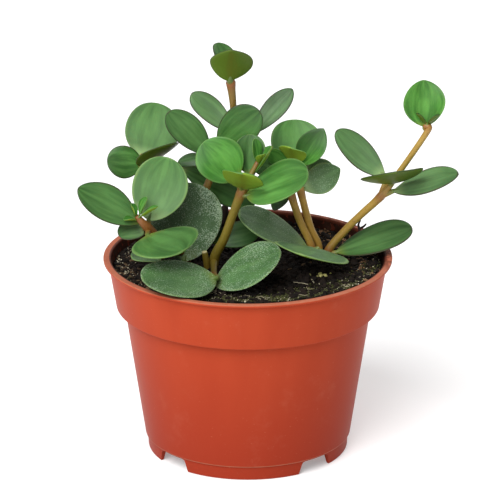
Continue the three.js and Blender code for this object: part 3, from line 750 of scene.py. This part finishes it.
def add_petiole(skin, shoot, leaf):
    """A leaf's stalk, from inside the stem into the blade, turning from brown to green."""
    _, path, point, base, heading, rise, roll, length = leaf[:8]
    size = min(1, length / FULL_BLADE)
    joint, below = (np.array(shoot[path][k][:3]) for k in (point, point - 1))
    start = joint + (below - joint) * PETIOLE_SUNK / np.linalg.norm(below - joint)
    along = blade_axes(heading, rise, roll)[0]
    neck = np.array(base) - 0.3 * along
    end = np.array(base) + along * min(PETIOLE_REACH, 0.2 * length)
    radius = PETIOLE_RADIUS * size
    stout = point == len(shoot[path]) - 1 and length > 3 * PETIOLE_REACH
    root = shoot[path][point][3] if stout else 1.3 * radius
    line = [(*start, root), (*neck, (root + radius) / 2), (*end, 0.45 * radius)]
    centres, radii = spline(line, PETIOLE_STEPS)
    points, faces = loft(tube(centres, radii, STEM_SIDES))
    share = (np.arange(len(centres)) - 0.35 * PETIOLE_STEPS) / (0.9 * PETIOLE_STEPS)
    share = np.clip(share, 0, 1)
    red, dark = shoot["tint"]
    brown = np.full(len(centres), min(1, red + 0.45))
    nothing = np.zeros(len(centres))
    shades = np.stack([np.full(len(centres), dark), np.arange(len(centres)) / 2.0, nothing], -1)
    skin.add(points, faces, 1,
             tint=np.repeat(np.stack([brown, share, nothing], -1), STEM_SIDES, 0),
             stem=np.repeat(shades, STEM_SIDES, 0))


def make_shoots():
    materials = [leaf_material(), stem_material()]
    for number, (name, shoot) in enumerate(SHOOTS.items()):
        random = np.random.default_rng(SHOOT_SEED + number)
        skin = Skin()
        for leaf in shoot["leaves"]:
            add_blade(skin, leaf, random)
            add_petiole(skin, shoot, leaf)
        for path in ("stem", "runner", "stub"):
            if path in shoot:
                joints = [shoot[path][leaf[2]][:3] for leaf in shoot["leaves"] if leaf[1] == path]
                add_stem(skin, shoot[path], shoot["tint"], joints, cut=path == "stub")
        skin.piece(f"{name}_grown", materials, "leaf_green", name)


# Pot

def filleted(corners):
    """A profile of (radius, height, fillet) corners, each rounded by its fillet."""
    rounded = []
    for k, (r, z, fillet) in enumerate(corners):
        here = np.array([r, z], float)
        if not fillet:
            rounded.append(here)
            continue
        before = np.array(corners[k - 1][:2], float)
        after = np.array(corners[(k + 1) % len(corners)][:2], float)
        start = here + (before - here) * min(0.5, fillet / np.linalg.norm(before - here))
        end = here + (after - here) * min(0.5, fillet / np.linalg.norm(after - here))
        for t in np.linspace(0, 1, FILLET_STEPS):
            rounded.append((1 - t) ** 2 * start + 2 * t * (1 - t) * here + t ** 2 * end)
    return rounded


def foot_gap_cutter(degrees):
    """A rounded wedge that opens the foot ring and the floor's corner."""
    half, top = FOOT_GAP_WIDTH / 2, FOOT_GAP_TOP_WIDTH / 2
    outline = filleted([(-half, -1, 0), (half, -1, 0),
                        (top, FOOT_GAP_HEIGHT, 1.2), (-top, FOOT_GAP_HEIGHT, 1.2)])
    turn = math.radians(degrees)
    out = np.array([math.cos(turn), math.sin(turn), 0])
    side = np.array([-math.sin(turn), math.cos(turn), 0])
    up = np.array([0, 0, 1])
    rings = np.array([[out * radius + side * across + up * height for across, height in outline]
                      for radius in (DRAIN_INNER_RADIUS, RIM_RADIUS)])
    return loft(rings)


def make_pot():
    """The pot as one turned skin, with the gaps cut out of its foot."""
    under = POT_HEIGHT - RIM_THICKNESS
    inner_foot = FOOT_RADIUS - FOOT_WIDTH
    profile = filleted([
        (PAD_RADIUS, 0, 0.4),
        (PAD_RADIUS + DRAFT, FLOOR_UNDERSIDE, 0.3),
        (inner_foot - DRAFT, FLOOR_UNDERSIDE, 0.3),
        (inner_foot, 0, 0.4),
        (FOOT_RADIUS, 0, 0.4),
        (FOOT_RADIUS + DRAFT, FOOT_LINE_HEIGHT - FOOT_LINE_DEPTH, 0.15),
        (BODY_FOOT_RADIUS + FOOT_LINE_STEP, FOOT_LINE_HEIGHT, 0.3),
        (BODY_TOP_RADIUS, BODY_TOP_HEIGHT, 0.5),
        (COLLAR_FOOT_RADIUS, COLLAR_FOOT_HEIGHT, 0.3),
        (COLLAR_TOP_RADIUS, under, 0.3),
        (RIM_RADIUS, under, 0.6),
        (RIM_RADIUS, POT_HEIGHT, 0.35),
        (COLLAR_TOP_RADIUS - WALL, POT_HEIGHT, 0.7),
        (COLLAR_FOOT_RADIUS - WALL, COLLAR_FOOT_HEIGHT + WALL, 0.6),
        (BODY_TOP_RADIUS - WALL, BODY_TOP_HEIGHT + WALL, 0.5),
        (BODY_FOOT_RADIUS - WALL, FLOOR_TOP, 1.2),
    ])
    profile = [(AXIS_RADIUS, 0), *profile, (AXIS_RADIUS, FLOOR_TOP)]
    angles = 2 * np.pi * np.arange(POT_SIDES) / POT_SIDES
    rings = np.array([[(r * math.cos(a), r * math.sin(a), z) for a in angles] for r, z in profile])
    skin = Skin()
    skin.add(*loft(rings))
    pot = skin.piece("pot_shell", [pot_material()], "terracotta_plastic", "pot")

    cutters = Skin()
    for degrees in FOOT_GAP_ANGLES:
        cutters.add(*foot_gap_cutter(degrees))
    cutter_mesh = bpy.data.meshes.new("foot_gaps")
    cutter_mesh.from_pydata((np.concatenate(cutters.points) * MM).tolist(), [], cutters.faces)
    cutter = bpy.data.objects.new("foot_gaps", cutter_mesh)
    bpy.context.collection.objects.link(cutter)
    for mesh in (pot.data, cutter_mesh):
        outward(mesh)
    cut = pot.modifiers.new("foot_gaps", "BOOLEAN")
    cut.operation = "DIFFERENCE"
    cut.solver = "EXACT"
    cut.object = cutter
    with bpy.context.temp_override(object=pot, active_object=pot, selected_objects=[pot]):
        bpy.ops.object.modifier_apply(modifier=cut.name)
    bpy.data.objects.remove(cutter)
    pot.data.polygons.foreach_set("use_smooth", [True] * len(pot.data.polygons))
    pot.data.set_sharp_from_angle(angle=math.radians(40))


def outward(mesh):
    """Turns a closed mesh's faces outwards."""
    build = bmesh.new()
    build.from_mesh(mesh)
    bmesh.ops.recalc_face_normals(build, faces=build.faces)
    build.to_mesh(mesh)
    build.free()


# Soil

def soil_top(x, y):
    """The height of the soil's lumpy surface."""
    broad = np.sin(0.17 * x + 1.3) * np.cos(0.15 * y + 0.4)
    fine = np.sin(0.43 * x + 0.36 * y) * np.cos(0.4 * x - 0.5 * y)
    return SOIL_HEIGHT + SOIL_LUMP * (0.6 * broad + 0.4 * fine)


def make_soil():
    """The filling, with a crumbly top."""
    wall = [
        (BODY_FOOT_RADIUS - WALL - 2 * SOIL_GAP, FLOOR_TOP + SOIL_GAP),
        (BODY_TOP_RADIUS - WALL - SOIL_GAP, BODY_TOP_HEIGHT),
        (COLLAR_FOOT_RADIUS - WALL - SOIL_GAP, COLLAR_FOOT_HEIGHT + WALL + SOIL_EDGE),
        (SOIL_RADIUS, SOIL_HEIGHT - SOIL_EDGE),
    ]
    angles = 2 * np.pi * np.arange(SOIL_SIDES) / SOIL_SIDES
    around = np.stack([np.cos(angles), np.sin(angles)], -1)
    rings = [np.column_stack([around * radius, np.full(SOIL_SIDES, height)])
             for radius, height in wall]
    for share in np.linspace(1, SOIL_CENTRE_SHARE, SOIL_RINGS):
        flat = around * SOIL_RADIUS * share
        crumbs = [noise.fractal(Vector((x * 0.45, y * 0.45, 3.0)), 0.9, 2.1, 5) for x, y in flat]
        grain = [noise.noise(Vector((x * 1.9, y * 1.9, 9.0))) for x, y in flat]
        height = soil_top(flat[:, 0], flat[:, 1])
        height = height + CRUMB_HEIGHT * np.array(crumbs) + GRAIN_HEIGHT * np.array(grain)
        rings.append(np.column_stack([flat, height]))
    skin = Skin()
    skin.add(*loft(np.array(rings)))
    skin.piece("soil_bed", [soil_material()], "potting_soil", "soil")


def rock(detail):
    """A unit ball of 20 or 80 faces."""
    build = bmesh.new()
    bmesh.ops.create_icosphere(build, subdivisions=detail, radius=1)
    points = np.array([vertex.co for vertex in build.verts])
    faces = [[vertex.index for vertex in face.verts] for face in build.faces]
    build.free()
    return points, faces


def scatter(name, material, count, size, stretch, where, seed, detail=1, sink=0.3, smooth=False):
    """Loose bits on the soil, with their smallest and largest radius and their proportions."""
    random = np.random.default_rng(seed)
    ball, faces = rock(detail)
    skin = Skin()
    for _ in range(count):
        x, y = where(random)
        radius = size[0] + (size[1] - size[0]) * random.random() ** BIT_SMALLNESS
        jitter = 1 + random.uniform(-BIT_JITTER, BIT_JITTER, (len(ball), 1))
        shape = ball * jitter * radius * np.array(stretch)
        turn = Matrix.Rotation(random.uniform(0, 2 * np.pi), 3, "Z")
        turn @= Matrix.Rotation(random.normal(0, BIT_TILT), 3, "X")
        turn @= Matrix.Rotation(random.normal(0, BIT_TILT), 3, "Y")
        place = np.array([x, y, soil_top(x, y) + radius * stretch[2] * (1 - 2 * sink)])
        points = shape @ np.array(turn).T + place
        tone = (random.random(), random.random(), 0)
        skin.add(points, faces, bit=np.tile(tone, (len(points), 1)))
    skin.piece(name, [material], "potting_soil", smooth=smooth)


def anywhere(random):
    radius = OPEN_RADIUS * math.sqrt(random.random())
    angle = random.uniform(0, 2 * math.pi)
    return radius * math.cos(angle), radius * math.sin(angle)


def along_rim(centre, spread, width):
    """A rule for places near the pot's wall, round a compass heading."""
    def where(random):
        angle = math.radians(random.normal(centre, spread))
        radius = WALL_RADIUS - abs(random.normal(0, width))
        return radius * math.cos(angle), radius * math.sin(angle)
    return where


def crescent(centre, spread, width):
    """A rule for places along a crescent that reaches further in at the front of the pot."""
    def where(random):
        angle = math.radians(random.normal(centre, spread))
        radius = CRESCENT_RADIUS - abs(random.normal(0, width))
        x, y = radius * math.cos(angle), CRESCENT_SHIFT + radius * math.sin(angle)
        inside = min(1, WALL_RADIUS / math.hypot(x, y))
        return x * inside, y * inside
    return where


def near(x, y, spread):
    """A rule for places round a point."""
    return lambda random: tuple(random.normal((x, y), spread))


def make_litter():
    """Crumbs, bark, perlite, moss and a few pale cuttings on the soil."""
    crumb = bits_material("soil_crumb", srgb(4, 3, 2), srgb(30, 21, 14), 900.0, 0.9)
    bark = bits_material("bark_chip", srgb(34, 24, 16), srgb(106, 84, 58), 700.0, 0.8)
    # A lighter copy of the bark: painted light for the chips that lie in shade at the back
    painted_light_bark = bits_material("painted_light_bark", srgb(62, 42, 28), srgb(140, 106, 74), 700.0, 0.8)
    perlite = bits_material("perlite", srgb(84, 76, 52), srgb(206, 198, 172), 1500.0, 0.7)
    moss = bits_material("moss", srgb(18, 20, 10), srgb(78, 80, 42), 1600.0, 0.95)
    cutting = bits_material("cutting", srgb(112, 114, 52), srgb(188, 180, 116), 900.0, 0.6)
    scatter("soil_crumbs", crumb, 4200, (0.3, 1.5), (1, 0.85, 0.7), anywhere, 1)
    scatter("bark_chips", bark, 70, (0.6, 1.8), (1, 0.5, 0.3), anywhere, 2, detail=2)
    scatter("bark_chips_left", bark, 260, (0.3, 1.2), FLAT_CHIP, along_rim(192, 22, 6), 3, detail=2)
    # The back chips use the lighter bark, painted light for their shade
    scatter("bark_chips_back", painted_light_bark, 380, (0.3, 1.2), FLAT_CHIP, along_rim(38, 26, 9), 10,
            detail=2)
    scatter("perlite_grains", perlite, 130, (0.15, 0.45), ROUND_GRAIN, anywhere, 4, sink=0.1)
    scatter("perlite_rim", perlite, 1300, (0.1, 0.32), ROUND_GRAIN, crescent(292, 26, 3.5), 5,
            sink=0.0)
    scatter("perlite_left", perlite, 200, (0.12, 0.4), ROUND_GRAIN, along_rim(190, 20, 4), 9,
            sink=0.0)
    scatter("moss_rim", moss, 3600, (0.12, 0.5), ROUND_GRAIN, crescent(295, 28, 4), 6, sink=0.1)
    scatter("cuttings", cutting, 9, (0.6, 1.7), (1, 0.7, 0.6), near(27, -11, 1.9), 7,
            detail=2, sink=0.15, smooth=True)


def make_twigs():
    """Short dark bits of bark that stand at the back of the pot."""
    bark = bits_material("dark_bark", srgb(16, 12, 12), srgb(52, 38, 30), 900.0, 0.8)
    skin = Skin()
    for line in TWIGS:
        centres, radii = spline(line, 5)
        points, faces = loft(tube(centres, radii, 8))
        skin.add(points, faces, bit=np.tile((0.4, 0.5, 0), (len(points), 1)))
    skin.piece("bark_twigs", [bark], "potting_soil")


def make_fibres():
    """Thin pale root threads that lie on the soil near the front."""
    random = np.random.default_rng(8)
    fibre = bits_material("root_fibre", srgb(104, 92, 66), srgb(190, 180, 152), 1200.0, 0.7)
    skin = Skin()
    for _ in range(FIBRE_COUNT):
        x, y = crescent(290, 20, 4)(random)
        heading = random.uniform(0, 2 * np.pi)
        bend = random.normal(0, FIBRE_BEND)
        line = []
        for _ in range(FIBRE_POINTS):
            height = soil_top(x, y) + 0.6 + 0.3 * random.random()
            line.append((x, y, height, FIBRE_RADIUS))
            heading += bend
            x += FIBRE_STEP * math.cos(heading)
            y += FIBRE_STEP * math.sin(heading)
            if math.hypot(x, y) > WALL_RADIUS:
                break
        if len(line) > 2:
            centres, radii = spline(line, 3)
            points, faces = loft(tube(centres, radii, 6))
            skin.add(points, faces, bit=np.tile((random.random(), 0.5, 0), (len(points), 1)))
    skin.piece("root_fibres", [fibre], "potting_soil")


# Studio, in metres and watts
FLOOR_SIZE = 12
FLOOR_DROP = 0.00005
LIGHT_AIM = (0, 0, 0.08)
WORLD_STRENGTH = 0.3


def add_area_light(name, place, size, power):
    """A round soft light that faces the plant."""
    data = bpy.data.lights.new(name, "AREA")
    data.shape = "DISK"
    data.size = size
    data.energy = power
    light = bpy.data.objects.new(name, data)
    light.location = place
    light.rotation_euler = (Vector(LIGHT_AIM) - Vector(place)).to_track_quat("-Z", "Y").to_euler()
    bpy.context.collection.objects.link(light)


def add_studio():
    """A pale floor under soft light from the upper left, with a weak light from behind."""
    bpy.ops.mesh.primitive_plane_add(size=FLOOR_SIZE, location=(0, 0, -FLOOR_DROP))
    floor = bpy.context.object
    floor.name = "studio_floor"
    floor.data.materials.append(floor_material())
    world = bpy.data.worlds.new("studio")
    world.use_nodes = True
    background = world.node_tree.nodes["Background"]
    background.inputs["Color"].default_value = (1, 1, 1, 1)
    background.inputs["Strength"].default_value = WORLD_STRENGTH
    bpy.context.scene.world = world
    add_area_light("key", (-1.35, -2.5, 2.9), 3.4, 250)
    add_area_light("back", (1.3, 2.4, 2.4), 3.0, 55)
    bpy.context.scene.view_settings.view_transform = "Standard"


add_camera()
make_pot()
make_soil()
make_litter()
make_fibres()
make_twigs()
make_shoots()
add_studio()
